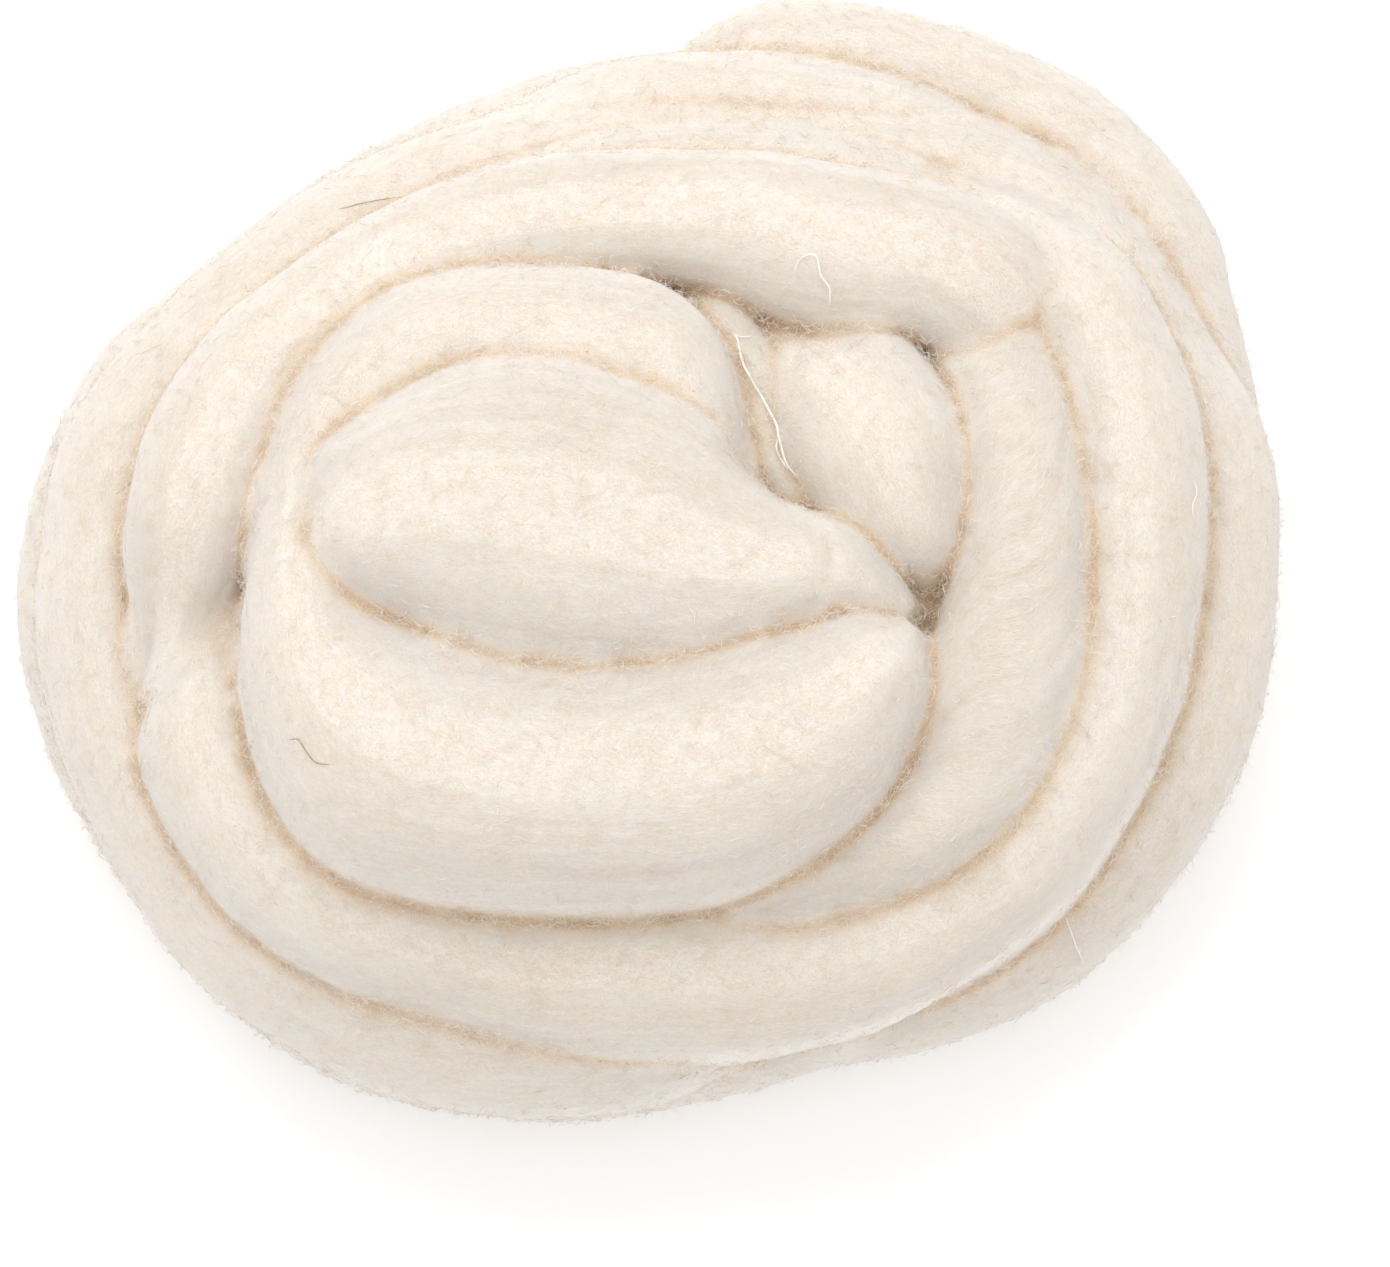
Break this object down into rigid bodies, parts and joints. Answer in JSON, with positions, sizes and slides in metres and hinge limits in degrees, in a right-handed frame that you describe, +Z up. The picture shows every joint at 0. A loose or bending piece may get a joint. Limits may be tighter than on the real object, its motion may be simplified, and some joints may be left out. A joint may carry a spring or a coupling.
{
  "type": "wool roving",
  "caption": "Soft hank of combed wool wound round on itself in thick turns, its free end folded over the middle; for felting and spinning.",
  "frame": {"origin": "on the surface that the hank rests on, under the middle of its outline", "axes": "+X along the hank's longer side, +Y towards its back, +Z up"},
  "size_m": [0.24, 0.2166, 0.0841],
  "materials": {
    "wool": "matte combed fibre, fuzzy"
  },
  "bodies": {
    "root": {"roving": "wool"}
  },
  "joints": []
}
